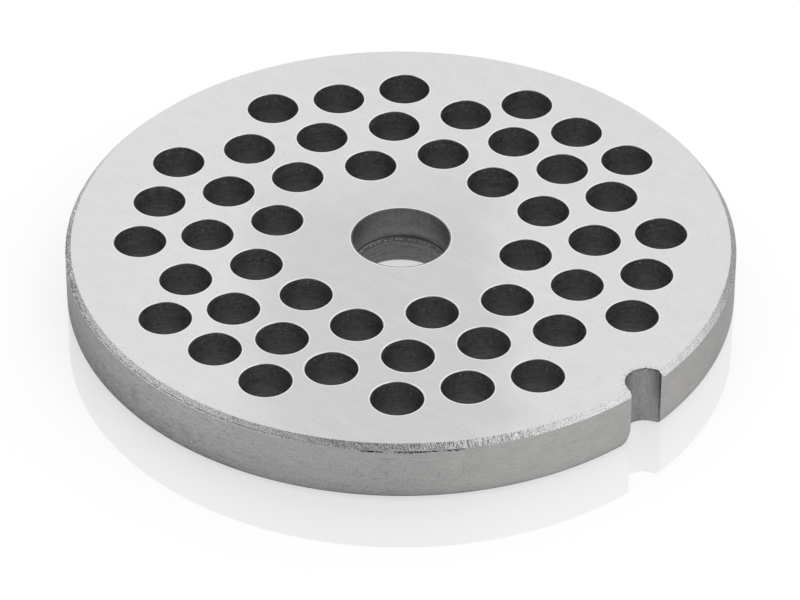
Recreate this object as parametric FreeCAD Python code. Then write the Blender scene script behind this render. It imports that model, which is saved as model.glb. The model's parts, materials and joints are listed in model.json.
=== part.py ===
import FreeCAD, Part
import math
import os

# Hole plate of a household meat grinder: one flat steel disc that the meat is pressed through.
# The origin is the centre of the lower face, +Z points out of the upper face, and the hole
# pattern is mirrored about X and about Y. All lengths are in millimetres, angles in degrees.

# Disc: the upper rim edge is chamfered, the lower one is rolled over by the blanking tool
plate_diameter = 62.0
plate_thickness = 5.95
chamfer_width = 0.5
chamfer_height = 0.5
lower_edge_radius = 0.8

# Stepped centre bore: the auger pin runs in the lower part, and the upper part is wider
bore_diameter = 8.2
bore_height = 2.7
bore_edge_break = 0.45
counterbore_diameter = 9.2

# Grinding holes
hole_diameter = 4.8
hole_pitch = 6.5
least_web = 1.0

# Inner rings of holes: each ring is a hexagon with a corner on +Y and one on -Y. From such a
# corner its slanted sides step out and down, and its upright sides are divided evenly.
hub_land = 9.0
slant_step_out = 6.15
slant_step_down = 3.55
first_ring = 2
last_ring = 3

# Outer holes: one straight row beside each side of the hexagon, with nothing at the corners
side_row_land = 7.2
slant_row_land = 7.8
slant_row_angle = 59.4
holes_per_row = 3

# Locating notch: a round cut through the rim at -Y, with its mouth edges broken
notch_radius = 2.0
notch_depth = 2.2
notch_mouth_break = 0.25

# How far a cutting tool runs past the steel
tool_overrun = 1.0

plate_radius = plate_diameter / 2
bore_radius = bore_diameter / 2
counterbore_radius = counterbore_diameter / 2
hole_radius = hole_diameter / 2
notch_centre = plate_radius - notch_depth + notch_radius


def disc_with_bore():
    """The turned blank: a half section swept once round the Z axis."""
    outline = [
        (plate_radius, lower_edge_radius),
        (plate_radius, plate_thickness - chamfer_height),
        (plate_radius - chamfer_width, plate_thickness),
        (counterbore_radius, plate_thickness),
        (counterbore_radius, bore_height),
        (bore_radius, bore_height),
        (bore_radius, bore_edge_break),
        (bore_radius + bore_edge_break, 0),
        (plate_radius - lower_edge_radius, 0),
    ]
    corners = [FreeCAD.Vector(r, 0, z) for r, z in outline]
    edges = [Part.LineSegment(a, b).toShape() for a, b in zip(corners, corners[1:])]
    bulge = lower_edge_radius * (1 - math.sqrt(0.5))
    middle = FreeCAD.Vector(plate_radius - bulge, 0, bulge)
    edges.append(Part.Arc(corners[-1], middle, corners[0]).toShape())
    section = Part.Face(Part.Wire(edges))
    return section.revolve(FreeCAD.Vector(0, 0, 0), FreeCAD.Vector(0, 0, 1), 360)


def mirrored(x, y):
    """A place and its mirror images about both axes, without repeats on an axis."""
    return sorted({(x, y), (-x, y), (x, -y), (-x, -y)})


def outer_row(land, angle):
    """Centres of one straight row, whose middle hole stands at the angle from +X."""
    out = FreeCAD.Vector(math.cos(math.radians(angle)), math.sin(math.radians(angle)), 0)
    along = FreeCAD.Vector(-out.y, out.x, 0)
    row = []
    for place in range(holes_per_row):
        shift = (place - (holes_per_row - 1) / 2) * hole_pitch
        centre = out * (plate_radius - land) + along * shift
        row.append((centre.x, centre.y))
    return row


def inner_ring(number):
    """Centres of one hexagonal ring, with as many steps to a side as the ring's number."""
    top = counterbore_radius + hub_land + (number - first_ring) * hole_pitch
    centres = []
    for step in range(number + 1):
        centres += mirrored(step * slant_step_out, top - step * slant_step_down)
    side = number * slant_step_out
    corner = top - number * slant_step_down
    for step in range(1, number):
        height = corner * (1 - 2 * step / number)
        centres += [(side, height), (-side, height)]
    return centres


def hole_centres():
    """Every grinding hole that leaves enough steel to the bore, rim, notch and other holes."""
    candidates = outer_row(side_row_land, 0) + outer_row(side_row_land, 180)
    for angle in (slant_row_angle, 180 - slant_row_angle, 180 + slant_row_angle, -slant_row_angle):
        candidates += outer_row(slant_row_land, angle)
    for number in range(first_ring, last_ring + 1):
        candidates += inner_ring(number)
    margin = hole_radius + least_web
    nearest = counterbore_radius + margin
    farthest = plate_radius - max(chamfer_width, lower_edge_radius) - margin
    kept = []
    for x, y in candidates:
        in_field = nearest <= math.hypot(x, y) <= farthest
        off_notch = math.hypot(x, y + notch_centre) >= notch_radius + margin
        apart = all(math.hypot(x - u, y - v) >= hole_radius + margin for u, v in kept)
        if in_field and off_notch and apart:
            kept.append((x, y))
    return kept


def through_tool(radius, x, y):
    """A round tool that passes right through the plate."""
    start = FreeCAD.Vector(x, y, -tool_overrun)
    return Part.makeCylinder(radius, plate_thickness + 2 * tool_overrun, start)


def notch_tool():
    """The round cutter and the two small flats at its mouth, which open outwards at 45 degrees."""
    half_mouth = math.sqrt(max(notch_radius ** 2 - (plate_radius - notch_centre) ** 2, 0))
    inside = plate_radius - notch_mouth_break
    outside = plate_radius + tool_overrun
    wide = half_mouth + outside - inside
    corners = [(-half_mouth, -inside), (-wide, -outside), (wide, -outside), (half_mouth, -inside)]
    points = [FreeCAD.Vector(x, y, -tool_overrun) for x, y in corners + corners[:1]]
    mouth = Part.Face(Part.makePolygon(points))
    mouth = mouth.extrude(FreeCAD.Vector(0, 0, plate_thickness + 2 * tool_overrun))
    return through_tool(notch_radius, 0, -notch_centre).fuse(mouth)


centres = hole_centres()
drills = Part.makeCompound([through_tool(hole_radius, x, y) for x, y in centres])
grinder_plate = disc_with_bore().cut(drills).cut(notch_tool())

os.makedirs("parts", exist_ok=True)
grinder_plate.exportStep("parts/grinder_plate.step")
print("holes", len(centres), "volume", round(grinder_plate.Volume, 2), "valid", grinder_plate.isValid())
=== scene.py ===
import json
import math

import bmesh
import bpy
from mathutils import Matrix, Vector, noise


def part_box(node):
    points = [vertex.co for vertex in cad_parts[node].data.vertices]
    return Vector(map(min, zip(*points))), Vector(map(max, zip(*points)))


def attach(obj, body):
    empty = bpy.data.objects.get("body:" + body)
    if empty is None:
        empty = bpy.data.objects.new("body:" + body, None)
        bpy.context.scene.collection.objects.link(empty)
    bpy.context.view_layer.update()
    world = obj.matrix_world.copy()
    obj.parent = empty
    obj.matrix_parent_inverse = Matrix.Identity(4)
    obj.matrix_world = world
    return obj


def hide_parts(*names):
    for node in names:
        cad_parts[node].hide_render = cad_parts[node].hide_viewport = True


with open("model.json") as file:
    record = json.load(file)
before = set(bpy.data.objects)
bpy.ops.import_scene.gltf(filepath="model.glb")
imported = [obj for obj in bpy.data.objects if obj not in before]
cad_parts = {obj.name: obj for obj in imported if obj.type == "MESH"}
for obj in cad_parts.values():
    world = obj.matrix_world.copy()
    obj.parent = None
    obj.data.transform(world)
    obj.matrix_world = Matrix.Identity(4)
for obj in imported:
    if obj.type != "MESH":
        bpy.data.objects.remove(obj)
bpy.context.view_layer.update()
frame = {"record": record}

# Rim: the disc is blanked from steel plate and its edge is turned to size, which leaves a dull wall with
# fine lines, pits and stains. The blanking tool rolled the lower edge over. One round notch is cut through
# the rim, and one corner of its mouth is worn round at the bottom. Lengths are in metres.
millimetre = 0.001
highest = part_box("grinder_plate")[1]
plate_radius = highest.x
thickness = highest.z
lower_edge_radius = 0.8 * millimetre
chamfer_height = 0.5 * millimetre
wall_top = thickness - chamfer_height
rim_steps = 2160

# The flats at the notch's mouth open at 45 degrees until they meet the rim.
interfaces = {mount["name"]: mount for mount in frame["record"]["mounts"]}
notch = interfaces["locating_notch"]
notch_radius = notch["dims"]["r_mm"] * millimetre
notch_axis = Vector((notch["pos_m"][0], notch["pos_m"][1], 0))
mouth_break = 0.25 * millimetre
notch_steps = 64
mouth_x = math.sqrt(notch_radius ** 2 - (plate_radius + notch_axis.y) ** 2)
mouth_y = plate_radius - mouth_break
mouth_gap = plate_radius ** 2 - mouth_x ** 2 - mouth_y ** 2
flat_reach = (math.sqrt((mouth_x + mouth_y) ** 2 + 2 * mouth_gap) - mouth_x - mouth_y) / 2
corner_x = mouth_x + flat_reach
corner_y = mouth_y + flat_reach
worn_corner = 2.0 * millimetre
worn_stretch = 3.2 * millimetre
lower_steps = 9


class Wire:
    """One output of a node. Arithmetic on wires and numbers adds Math nodes."""

    def __init__(self, socket):
        self.socket = socket

    def node(self, kind, settings, sockets, output=0):
        """Adds a node of any kind to this wire's tree and returns one of its outputs."""
        tree = self.socket.id_data
        made = tree.nodes.new(kind)
        for name, setting in settings.items():
            setattr(made, name, setting)
        for name, value in sockets.items():
            if isinstance(value, Wire):
                tree.links.new(value.socket, made.inputs[name])
            else:
                made.inputs[name].default_value = value
        return Wire(made.outputs[output])

    def maths(self, operation, first, second):
        return self.node("ShaderNodeMath", {"operation": operation}, {0: first, 1: second})

    def __add__(self, other):
        return self.maths("ADD", self, other)

    def __radd__(self, other):
        return self.maths("ADD", other, self)

    def __sub__(self, other):
        return self.maths("SUBTRACT", self, other)

    def __rsub__(self, other):
        return self.maths("SUBTRACT", other, self)

    def __mul__(self, other):
        return self.maths("MULTIPLY", self, other)

    def __rmul__(self, other):
        return self.maths("MULTIPLY", other, self)

    def turned(self, angle, size=(1, 1, 1)):
        """This place measured in units of the given size, along axes turned about Z by an angle."""
        sockets = {"Vector": self, "Rotation": (0, 0, angle), "Scale": size}
        return self.node("ShaderNodeMapping", {"vector_type": "TEXTURE"}, sockets)

    def part(self, axis):
        """The X, Y or Z of a place."""
        return self.node("ShaderNodeSeparateXYZ", {}, {"Vector": self}, axis)

    def grain(self, along, across=None, upright=None, angle=0.0, detail=2.0):
        """Noise from 0 to 1. Its spots are sized in millimetres, along and across an angle and upright."""
        size = [millimetre * (along if length is None else length) for length in (along, across, upright)]
        sockets = {"Vector": self.turned(angle, size), "Scale": 1, "Detail": detail}
        return self.node("ShaderNodeTexNoise", {}, sockets)

    def swing(self, weight):
        """Noise about its middle, as strong as its weight."""
        return (self - 0.5) * weight

    def step(self, start, end):
        """0 up to the start value and 1 from the end value on, with a smooth rise between them."""
        sockets = {"Value": self, "From Min": start, "From Max": end}
        return self.node("ShaderNodeMapRange", {"interpolation_type": "SMOOTHSTEP"}, sockets)

    def past(self, start, end):
        """The same rise of a length, from a start to an end in millimetres."""
        return self.step(start * millimetre, end * millimetre)

    def between(self, start, full, fading, end):
        """1 where a length lies from full to fading, and 0 up to start and from end on, in millimetres."""
        return self.past(start, full) * (1 - self.past(fading, end))

    def blend(self, first, second):
        """The first colour where this is 0 and the second where it is 1."""
        return self.node("ShaderNodeMix", {"data_type": "RGBA"}, {0: self, 6: first, 7: second}, 2)


finishes = []


def grey(level):
    """A colour without any tint."""
    return level, level, level, 1


def steel(name):
    """Starts a bare steel finish and returns its number, its shader and the place on the plate."""
    material = bpy.data.materials.new(name)
    material.use_nodes = True
    shader = material.node_tree.nodes["Principled BSDF"]
    shader.inputs["Metallic"].default_value = 1.0
    finishes.append(material)
    place = Wire(shader.outputs["BSDF"]).node("ShaderNodeTexCoord", {}, {}, "Object")
    return len(finishes) - 1, shader, place


def dress(shader, colour, roughness, relief, depth):
    """Joins colour, roughness and a relief of some depth in millimetres to a finish's shader."""
    sockets = {"Strength": 1.0, "Distance": depth * millimetre, "Height": relief}
    normal = relief.node("ShaderNodeBump", {}, sockets)
    links = shader.id_data.links
    links.new(colour.socket, shader.inputs["Base Color"])
    links.new(roughness.socket, shader.inputs["Roughness"])
    links.new(normal.socket, shader.inputs["Normal"])


# The plate's front is the corner between -X and -Y. To the left of it the rim has stronger lines and
# grooves and painted shade that darkens it towards the bottom. To the right it has fewer pits and
# scratches, and painted light makes it lighter and a little warmer in colour. A tone goes from a finish's
# dark colour at 0 to its light one at 1, and each kind of mark adds its weight to it or takes it away.
front_angle = math.radians(-45)
rim_finish, shader, place = steel("turned_rim_steel")
sides = place.turned(front_angle)
left_side = 1 - sides.part("X").past(-24, -8)
right_side = sides.part("X").past(-4, 14)
flank = sides.part("Y").between(-25, -14, 4, 18)
front = sides.part("X").between(-6, -3, 4, 8) * (1 - flank)

level = place.part("Z")
# Painted shade: the bottom 0.5 mm of the wall is darker.
bottom_edge_shade = 1 - level.past(0.28, 0.5)
# Painted shade: darker towards the bottom, less so on the right side.
foot = (1 - level.past(-0.4, 2.2)) * (1 - right_side * 0.7)
# Painted shade: darker towards the bottom on the left side.
shade = (1 - level.past(-1, 5)) * left_side
# Painted light: lighter higher up, except on the right side.
high = level.past(2, 4.5) * (1 - right_side)
# A patchy dark line just below the chamfer at the front.
below_chamfer = level - wall_top + place.grain(0.22).swing(0.7 * millimetre)
patchy_dark_line = below_chamfer.past(-0.2, -0.12) * place.grain(1.4, upright=10).step(0.36, 0.5) * front

lines = place.grain(0.6, upright=0.08)
grit = place.grain(0.12)
stains = place.grain(2, upright=1.2)
pits = place.grain(0.34, upright=0.16).step(0.62, 0.72)
grooves = place.grain(2.2, upright=0.06, detail=1.0).step(0.56, 0.68)
scratches = place.grain(0.16, upright=4).step(0.69, 0.77) * (1 - right_side)
tone = 0.65 + lines.swing(0.5 + left_side * 0.9) + grit.swing(0.9 - right_side * 0.35)
# Painted light: the right side is lighter.
tone = tone + stains.swing(0.25 - left_side * 0.1) + right_side * 0.16
# Painted light higher up and on the right flank; painted shade towards the bottom and along the bottom
# edge.
tone = tone + high * 0.1 + flank * right_side * 0.1 - shade * 0.3 - foot * 0.3 - bottom_edge_shade * 0.4
tone = tone - pits * (0.45 - right_side * 0.25 - left_side * 0.15)
tone = tone - grooves * (0.18 + left_side * 0.2) - scratches * 0.5
# Painted warm light: the bare colour is a little warmer on the right side.
bare = right_side.blend((0.49, 0.49, 0.488, 1), (0.5, 0.492, 0.478, 1))
# The patchy dark line, and painted shade along the bottom edge off the right side, blend the colour towards
# dark grey.
darkened = patchy_dark_line + bottom_edge_shade * (1 - right_side) * 0.2
colour = darkened.blend(tone.blend((0.2, 0.2, 0.199, 1), bare), grey(0.06))
shader.inputs["Specular Tint"].default_value = grey(0.6)
dress(shader, colour, 0.36 + grit * 0.12, grit, 0.006)


def extrude_ring(shell, edges, finish):
    """Extrudes a closed ring of edges and returns the new ring's edges and vertices."""
    made = bmesh.ops.extrude_edge_only(shell, edges=edges)["geom"]
    for face in made:
        if isinstance(face, bmesh.types.BMFace):
            face.material_index = finish
    verts = {part for part in made if isinstance(part, bmesh.types.BMVert)}
    ring = [part for part in made if isinstance(part, bmesh.types.BMEdge) and verts.issuperset(part.verts)]
    return ring, verts


def turn_down(verts, height, reach):
    """Sets a ring of the outline at a height, with nothing of it further out than its reach."""
    for vert in verts:
        vert.co.z = height
        if vert.co.xy.length > reach:
            vert.co.xy = vert.co.xy.normalized() * reach


plate = bmesh.new()
up = Vector((0, 0, 1))
corner = plate.verts.new((corner_x, -corner_y, worn_corner))
rim_turn = math.tau - 2 * math.atan2(corner_x, corner_y)
arc = bmesh.ops.spin(plate, geom=[corner], axis=up, cent=(0, 0, 0), angle=rim_turn, steps=rim_steps)
mouth = bmesh.ops.extrude_vert_indiv(plate, verts=arc["geom_last"])["verts"]
mouth[0].co = (-mouth_x, -mouth_y, worn_corner)
notch_turn = math.pi - 2 * math.asin((-notch_axis.y - mouth_y) / notch_radius)
arc = bmesh.ops.spin(plate, geom=mouth, axis=-up, cent=notch_axis, angle=notch_turn, steps=notch_steps)
plate.edges.new((arc["geom_last"][0], corner))
outline = list(plate.edges)

upper_ring, upper_verts = extrude_ring(plate, outline, rim_finish)
turn_down(upper_verts, wall_top, plate_radius)
lower_ring = outline
worn = 0
worn_spot = Vector((-corner_x, -corner_y))
for step in range(1, lower_steps + 1):
    angle = math.pi / 2 * step / lower_steps
    height = worn_corner * (1 - math.sin(angle))
    rolled = max(0, lower_edge_radius - height)
    shift = worn_corner * (1 - math.cos(angle)) - worn
    worn += shift
    lower_ring, lower_verts = extrude_ring(plate, lower_ring, rim_finish)
    for vert in lower_verts:
        vert.co.x -= shift * max(0, 1 - (vert.co.xy - worn_spot).length / worn_stretch)
    worn_spot.x -= shift
    reach = plate_radius - lower_edge_radius + math.sqrt(lower_edge_radius ** 2 - rolled ** 2)
    turn_down(lower_verts, height, reach)

# Chamfer: the upper rim edge is ground off at 45 degrees with a coarse wheel. Its grain is rough enough to
# glitter and breaks out a little. The wheel scored it to the right of the front. On the left a thin band of
# painted highlight runs along its foot, with a thin patchy dark line above it. Painted shade darkens it at
# the front and on the flanks, and painted light brightens a band on the right.
chamfer_width = 0.5 * millimetre
chamfer_rows = 8
grained_width = 0.55 * millimetre
grain_depth = 0.05 * millimetre
grain_size = 0.12 * millimetre
grain_slope = 0.6
stroke_lean = 0.4

chamfer_finish, shader, place = steel("coarse_chamfer_steel")
sides = place.turned(front_angle)
left_side = 1 - sides.part("X").past(-8, -3)
right_side = sides.part("X").past(8, 16)
bright = sides.part("X").between(8, 16, 22, 28)
flank = sides.part("Y").between(-16, -4, 4, 16)
front = sides.part("X").between(-12, -5, 1, 6) * (1 - flank)
scored = sides.part("X").between(-3, 3, 9, 14) * (1 - flank)

above_foot = place.part("Z") - wall_top + place.grain(0.3).swing(0.14 * millimetre)
# Painted highlight: a thin lighter band at the foot on the left side.
foot_highlight = (1 - above_foot.past(0.02, 0.05)) * left_side
# A thin patchy dark line just above the foot on the left side.
thin_dark_line = above_foot.between(0.05, 0.07, 0.11, 0.14) * (1 - sides.part("X").past(-14, -8))
thin_dark_line = thin_dark_line * place.grain(0.4, upright=2).step(0.34, 0.5) * 0.7

grit = place.grain(0.07, detail=0.0)
coarse = place.grain(0.18, detail=0.0)
strokes = place.grain(0.09, 0.6, 0.6, front_angle + stroke_lean, detail=0.0)
patches = place.grain(1.2)
tone = 0.64 + grit.swing(5.5 - left_side * 2 - right_side * 3.4) + patches.swing(0.5)
tone = tone + coarse.swing(flank * (5 - right_side * 4)) + strokes.swing(scored * 4.5)
# Painted highlight at the foot, painted light on a band to the right, painted shade at the front and on the
# flanks.
tone = tone + foot_highlight * 0.3 + bright * 0.08 - front * 0.36 - flank * 0.65
colour = thin_dark_line.blend(tone.blend(grey(0.3), (0.95, 0.95, 0.945, 1)), grey(0.1))
dress(shader, colour, 0.26 + grit * 0.16, grit, 0.03)

for row in range(1, chamfer_rows + 1):
    share = row / chamfer_rows
    upper_ring, upper_verts = extrude_ring(plate, upper_ring, chamfer_finish)
    turn_down(upper_verts, wall_top + chamfer_height * share, plate_radius - chamfer_width * share)
    for vert in upper_verts:
        if vert.co.xy.length > plate_radius - grained_width:
            grain = noise.noise(vert.co * Vector((1, 1, grain_slope)) / grain_size)
            vert.co.xy -= vert.co.xy.normalized() * abs(grain) * grain_depth

# Locating notch: cut by a round milling cutter, which leaves faint upright lines on its wall, a ragged
# burr along its upper edge and a dark line inside its mouth. Its wall is painted darker across the middle
# and lighter towards +X, as painted shade and light.
notch_margin = 0.04 * millimetre
notch_reach = notch_radius + notch_margin
burr_depth = 0.12 * millimetre
burr_size = 0.25 * millimetre

notch_finish, shader, place = steel("milled_notch_steel")
lines = place.grain(0.3, upright=20)
grit = place.grain(0.18, detail=3.0)
clouds = place.grain(0.9, upright=1.4)
specks = place.grain(0.25)
burr = (place.part("Z") - thickness).past(-0.5, -0.1) * specks.step(0.48, 0.58)
from_mouth = place.part("Y") + mouth_y
mouth_line = (from_mouth + specks.swing(0.8 * millimetre)).between(-0.13, -0.01, 0.13, 0.35)
mouth_flat = 1 - from_mouth.past(-0.05, 0.05)
shaded_middle = place.part("X").past(-1.6, 0.4)
lit_end = place.part("X").past(1, 1.8)
# Painted shade across the middle of the wall and painted light towards its +X end.
tone = 0.75 + lines.swing(0.4) + grit.swing(0.9) + clouds.swing(0.4) - shaded_middle * 0.36 + lit_end * 0.2
tone = tone + mouth_flat * 0.15 - burr * 0.6 - mouth_line * 0.5
colour = tone.blend((0.17, 0.168, 0.172, 1), (0.46, 0.456, 0.46, 1))
dress(shader, colour, 0.4 + grit * 0.12, grit, 0.008)

for vert in upper_verts:
    from_axis = (vert.co - notch_axis) * Vector((1, 1, 0))
    if from_axis.length < notch_reach:
        vert.co += from_axis.normalized() * max(0, noise.noise(vert.co / burr_size)) * burr_depth
for face in plate.faces:
    if (face.calc_center_median() - notch_axis).xy.length < notch_reach:
        face.material_index = notch_finish

# Grinding holes: 48 of them, drilled straight through. Their walls are dark, with a few bright flecks near
# the top, and grinding the face leaves each hole a sharp lip, painted pale as a highlight.
hole_radius = 2.4 * millimetre
hole_pitch = 6.5 * millimetre
hub_land = 9.0 * millimetre
slant_step_out = 6.15 * millimetre
slant_step_down = 3.55 * millimetre
ring_numbers = (2, 3)
side_row_land = 7.2 * millimetre
slant_row_land = 7.8 * millimetre
slant_row_angle = 59.4
lip_width = 0.1 * millimetre
lip_break = 0.05 * millimetre
hole_sides = 96
counterbore_radius = interfaces["counterbore"]["dims"]["r_mm"] * millimetre

# Painted highlight: the lips are paler and brighter than the ground face. The same finish lies round the
# counterbore's mouth and on a band of the bore's ledge.
highlight_finish, shader, place = steel("painted_highlight_steel")
grit = place.grain(0.2)
colour = grit.blend(grey(0.75), grey(0.95))
dress(shader, colour, 0.2 + grit * 0.1, grit, 0.002)

hole_finish, shader, place = steel("dark_hole_steel")
lines = place.grain(2.5, upright=0.14, detail=3.0)
scale_marks = place.grain(0.5, upright=0.4, detail=3.0)
flecks = place.grain(0.17, upright=0.12).step(0.64, 0.71) * place.part("Z").past(3, 5.5)
tone = 0.2 + lines.swing(0.35) + scale_marks.swing(0.4) + flecks
colour = tone.blend(grey(0.08), grey(0.65))
dress(shader, colour, 0.5 + scale_marks * 0.2, scale_marks, 0.01)


def straight_row(land, degrees):
    """Centres of three holes in line, the middle one at an angle from +X and in from the rim."""
    out = Vector((math.cos(math.radians(degrees)), math.sin(math.radians(degrees)), 0))
    return [out * (plate_radius - land) + out.cross(up) * hole_pitch * step for step in (-1, 0, 1)]


def hexagon_ring(number):
    """Centres of one hexagonal ring round the bore, with a corner on +Y and one on -Y."""
    top = counterbore_radius + hub_land + (number - ring_numbers[0]) * hole_pitch
    side = number * slant_step_out
    corner_height = top - number * slant_step_down
    spots = [(0, top), (0, -top)]
    for step in range(1, number + 1):
        out = step * slant_step_out
        height = top - step * slant_step_down
        spots += [(out, height), (-out, height), (out, -height), (-out, -height)]
    for step in range(1, number):
        height = corner_height * (1 - 2 * step / number)
        spots += [(side, height), (-side, height)]
    return [Vector((x, y, 0)) for x, y in spots]


def sink(name, segments, start, rings):
    """A round hole as a mesh: a starting ring, then each ring's radius, height and finish, going down."""
    shell = bmesh.new()
    radius, height = start
    bmesh.ops.create_circle(shell, segments=segments, radius=radius, matrix=Matrix.Translation(up * height))
    ring = list(shell.edges)
    for next_radius, next_height, finish in rings:
        ring, verts = extrude_ring(shell, ring, finish)
        wider = next_radius / radius
        bmesh.ops.scale(shell, verts=list(verts), vec=(wider, wider, 1))
        bmesh.ops.translate(shell, verts=list(verts), vec=up * (next_height - height))
        radius, height = next_radius, next_height
    mesh = bpy.data.meshes.new(name)
    shell.to_mesh(mesh)
    shell.free()
    return mesh


hole = sink("hole", hole_sides, (hole_radius + lip_break + lip_width, thickness), (
    (hole_radius + lip_break, thickness, highlight_finish),
    (hole_radius, thickness - lip_break, highlight_finish),
    (hole_radius, lip_break, hole_finish),
    (hole_radius + lip_break, 0, highlight_finish),
))
centres = straight_row(side_row_land, 0) + straight_row(side_row_land, 180)
for degrees in (slant_row_angle, 180 - slant_row_angle):
    centres += straight_row(slant_row_land, degrees) + straight_row(slant_row_land, -degrees)
for number in ring_numbers:
    centres += hexagon_ring(number)
for centre in centres:
    hole.transform(Matrix.Translation(centre))
    plate.from_mesh(hole)
    hole.transform(Matrix.Translation(-centre))
bpy.data.meshes.remove(hole)

# Centre bore: the auger's pin runs in the lower part, which is bored smooth. The upper part is wider and
# rougher, with a thin burr at its mouth that is painted dark as shade; its wall is painted lighter towards
# the ledge and darker on its near half. It ends in a narrow ledge, which has painted shade in the corner
# and a band of painted highlight beside it, and whose inner edge is broken and catches the light. Just
# under that edge the bore is painted darker, as shade.
bore_radius = interfaces["pin_bore"]["dims"]["r_mm"] * millimetre
counterbore_depth = interfaces["counterbore"]["dims"]["length_mm"] * millimetre
ledge_height = thickness - counterbore_depth
ledge_corner = 0.12 * millimetre
ledge_smooth = 0.16 * millimetre
ledge_break = 0.04 * millimetre
bore_break = 0.45 * millimetre
bore_lip = 0.04 * millimetre
bore_burr = 0.09 * millimetre
burr_drop = 0.03 * millimetre
bore_sides = 192

counterbore_finish, shader, place = steel("rough_counterbore_steel")
grit = place.grain(0.2, detail=4.0)
marks = place.grain(1.2, upright=0.5)
flecks = place.grain(0.2, upright=0.15).step(0.67, 0.74)
# Painted light: the wall is lighter towards the ledge.
deep = 1 - (place.part("Z") - ledge_height).past(-0.6, 1.8)
# Painted shade: the near half of the wall is darker.
near_half = 1 - place.turned(front_angle).part("Y").past(0, 4)
tone = 0.18 + grit.swing(0.6) + marks.swing(0.2) + flecks * 0.4 + deep * 0.27 - near_half * 0.14
colour = tone.blend(grey(0.15), grey(0.75))
dress(shader, colour, 0.45 + grit * 0.2, grit, 0.02)

ledge_finish, shader, place = steel("bright_ledge_steel")
grit = place.grain(0.2, detail=3.0)
colour = grit.step(0.38, 0.62).blend(grey(0.2), grey(0.75))
dress(shader, colour, 0.55 + grit * 0.2, grit, 0.02)

bore_finish, shader, place = steel("bored_steel")
lines = place.grain(3, upright=0.2, detail=3.0)
grit = place.grain(0.3, upright=0.2, detail=3.0)
# Painted shade: the bore is darker just under the ledge.
under_ledge = (place.part("Z") - ledge_height).past(-0.28, -0.14)
tone = 0.42 + lines.swing(1.8) + grit.swing(1) - under_ledge * 0.6
colour = tone.blend((0.13, 0.128, 0.128, 1), (0.31, 0.306, 0.306, 1))
dress(shader, colour, 0.4 + lines * 0.15, lines, 0.015)

bore = sink("bore", bore_sides, (counterbore_radius + bore_lip + lip_width, thickness), (
    (counterbore_radius + bore_lip, thickness, highlight_finish),
    # A dark burr ring, as painted shade.
    (counterbore_radius - bore_burr, thickness - burr_drop, hole_finish),
    (counterbore_radius, ledge_height, counterbore_finish),
    # Painted shade in the ledge's corner, then a band of painted highlight.
    (counterbore_radius - ledge_corner, ledge_height, hole_finish),
    (counterbore_radius - ledge_corner - ledge_smooth, ledge_height, highlight_finish),
    (bore_radius + ledge_break, ledge_height, ledge_finish),
    (bore_radius, ledge_height - ledge_break, ledge_finish),
    (bore_radius, bore_break, bore_finish),
    (bore_radius + bore_break, 0, bore_finish),
))
plate.from_mesh(bore)
bpy.data.meshes.remove(bore)

# Ground faces: both flat faces are finished last on a surface grinder. The wheel leaves very fine straight
# lines, nearly along Y, over faint clouds, and there are a few scratches and dark pits. A broad patch from
# the bore out to the front is darker, as painted shade, and has stronger lines, and the side to the left of
# the front is lighter, as painted light.
grinding_angle = math.radians(-84.5)
scratch_angle = 0.6
patch_shift = 2.2 * millimetre
patch_drift = 8 * millimetre
flat_tolerance = 0.001 * millimetre
crisp_angle = math.radians(30)

face_finish, shader, place = steel("ground_face_steel")
sides = place.turned(front_angle)
# Painted light: lighter to the left of the front.
lit_side = 1 - sides.part("X").past(-20, 0)
drift = place.grain(8).swing(patch_drift)
across = sides.part("X") + drift + patch_shift
aside = across.maths("ABSOLUTE", across, 0)
# Painted shade: a broad patch from the bore out to the front is darker, and its lines are stronger.
shaded_patch = (1 - aside.past(8, 14.5)) * (1 - (sides.part("Y") + drift).past(-1, 18))
lines = place.grain(5, 0.12, 1, grinding_angle, detail=3.0)
bands = place.grain(8, 0.6, 2, grinding_angle, detail=3.0)
clouds = place.grain(2, detail=3.0)
specks = place.grain(0.3)
scratches = place.grain(1.2, 0.13, 1, scratch_angle).step(0.71, 0.78)
pits = place.grain(0.26, 0.2, 0.2, scratch_angle).step(0.655, 0.72)
ends = {0: place, 1: notch_axis + up * thickness}
from_notch = place.node("ShaderNodeVectorMath", {"operation": "DISTANCE"}, ends, "Value")
burr = (1 - from_notch.past(2.15, 2.5)) * specks.step(0.5, 0.62)
tone = 0.72 + lines.swing(0.28 + shaded_patch * 0.25) + bands.swing(0.25) + clouds.swing(0.3) + specks.swing(0.15)
# Painted light on the left side, painted shade in the broad patch.
tone = tone + lit_side * 0.12 - scratches * 0.4 - pits * 0.7 - shaded_patch * 0.43 - burr * 0.8
colour = tone.blend(grey(0.58), grey(0.8))
dress(shader, colour, 0.27 + lines * 0.08, lines, 0.001)

open_edges = [edge for edge in plate.edges if edge.is_boundary]
for height in (thickness, 0):
    loops = [edge for edge in open_edges if abs(edge.verts[0].co.z - height) < flat_tolerance]
    filled = bmesh.ops.triangle_fill(plate, edges=loops, use_beauty=True, normal=up)
    for face in filled["geom"]:
        if isinstance(face, bmesh.types.BMFace):
            face.material_index = face_finish

bmesh.ops.recalc_face_normals(plate, faces=plate.faces)
for face in plate.faces:
    face.smooth = True
for edge in plate.edges:
    edge.smooth = edge.calc_face_angle(0) < crisp_angle

plate_mesh = bpy.data.meshes.new("drilled_plate")
plate.to_mesh(plate_mesh)
plate.free()
for finish in finishes:
    plate_mesh.materials.append(finish)
drilled_plate = bpy.data.objects.new("drilled_plate", plate_mesh)
bpy.context.scene.collection.objects.link(drilled_plate)
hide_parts("grinder_plate")
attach(drilled_plate, "root")

# Floor: a sheet of polished white acrylic. It mirrors the plate faintly and keeps the soft shadow
# under it, and it shows as white to the eye and in the steel.
floor_half = 3.0
floor_level = 0.4
floor_glow = 0.6
floor_index = 2.2

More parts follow.
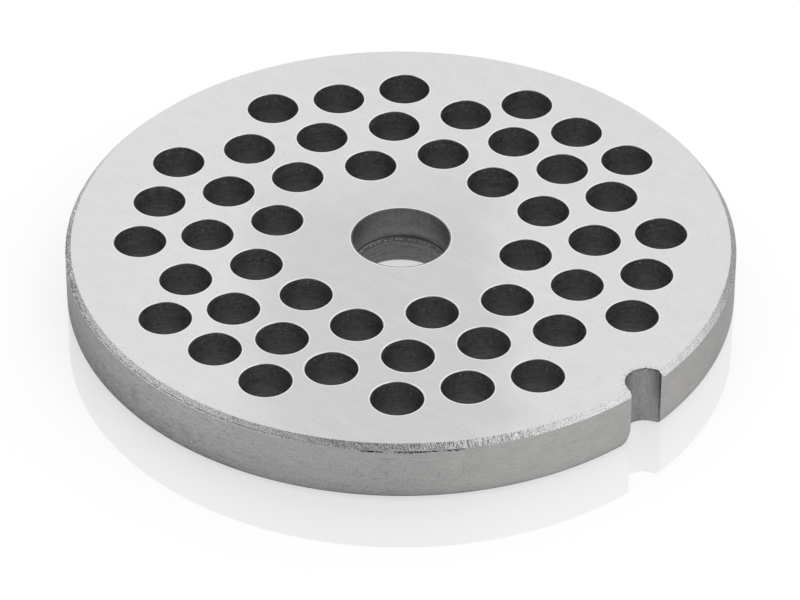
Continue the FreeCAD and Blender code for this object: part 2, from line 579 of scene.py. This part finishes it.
floor_mesh = bpy.data.meshes.new("floor")
sheet = bmesh.new()
bmesh.ops.create_grid(sheet, x_segments=1, y_segments=1, size=floor_half)
sheet.to_mesh(floor_mesh)
sheet.free()
floor = bpy.data.objects.new("floor", floor_mesh)
bpy.context.scene.collection.objects.link(floor)

acrylic = bpy.data.materials.new("white_acrylic")
acrylic.use_nodes = True
shader = acrylic.node_tree.nodes["Principled BSDF"]
shader.inputs["Base Color"].default_value = grey(floor_level)
shader.inputs["Roughness"].default_value = 0.0
shader.inputs["IOR"].default_value = floor_index
shader.inputs["Emission Color"].default_value = grey(1)
surface = Wire(shader.outputs["BSDF"])
seen = surface.node("ShaderNodeLightPath", {}, {}, "Is Camera Ray")
mirrored = surface.node("ShaderNodeLightPath", {}, {}, "Is Glossy Ray")
seen_through = surface.node("ShaderNodeLightPath", {}, {}, "Is Transmission Ray")
glow = (seen + mirrored + seen_through) * floor_glow
acrylic.node_tree.links.new(glow.socket, shader.inputs["Emission Strength"])
floor_mesh.materials.append(acrylic)

# Studio: white all round, as in a light tent, with the dim opening that the camera looks through. The tent
# is dimmer low down and a little dimmer on the left. A spread holds the cosines, or for low_spread the
# heights, between which the light changes.
view_azimuth = math.radians(-45.577)
opening_azimuth = view_azimuth + math.radians(-16)
opening_height = math.radians(50)
opening_level = 0.2
opening_spread = (0.72, 1.0)
left_level = 0.78
left_spread = (-0.2, 0.7)
low_level = 0.35
low_spread = (-0.05, 0.4)

opening = Vector((0, -math.cos(opening_height), math.sin(opening_height)))
opening = Matrix.Rotation(opening_azimuth, 3, "Z") @ opening
tent_left = Matrix.Rotation(view_azimuth, 3, "Z") @ Vector((-1, 0, 0))
studio = bpy.data.worlds.new("light_tent")
studio.use_nodes = True
background = studio.node_tree.nodes["Background"]
tent = Wire(background.outputs["Background"])
seen = tent.node("ShaderNodeLightPath", {}, {}, "Is Camera Ray")
direction = tent.node("ShaderNodeTexCoord", {}, {}, "Generated")
dot = {"operation": "DOT_PRODUCT"}
to_opening = direction.node("ShaderNodeVectorMath", dot, {0: direction, 1: opening}, "Value")
to_left = direction.node("ShaderNodeVectorMath", dot, {0: direction, 1: tent_left}, "Value")
light = 1 - to_opening.step(*opening_spread) * (1 - opening_level)
light = light * (1 - to_left.step(*left_spread) * (1 - left_level))
light = light * (low_level + direction.part("Z").step(*low_spread) * (1 - low_level))
light = light + seen * (1 - light)
studio.node_tree.links.new(light.socket, background.inputs["Strength"])
background.inputs["Color"].default_value = grey(1)
bpy.context.scene.world = studio
bpy.context.scene.view_settings.view_transform = "Standard"

# Camera: a long lens that looks down on the plate from the left of its notch. Its place is measured from
# the centre of the plate's lower face, and its sensor and focal length are in millimetres.
side_step = -0.00006
stand_off = 0.38156
eye_height = 0.28671
look_down = math.radians(37.046)
roll = math.radians(0.218)
sensor_width = 36.0
focal_length = 230.6

lens = bpy.data.cameras.new("camera")
lens.sensor_width = sensor_width
lens.lens = focal_length
camera = bpy.data.objects.new("camera", lens)
swing = Matrix.Rotation(view_azimuth, 4, "Z") @ Matrix.Translation((side_step, -stand_off, eye_height))
tilt = Matrix.Rotation(math.pi / 2 - look_down, 4, "X") @ Matrix.Rotation(roll, 4, "Z")
camera.matrix_world = swing @ tilt
bpy.context.scene.collection.objects.link(camera)
bpy.context.scene.camera = camera
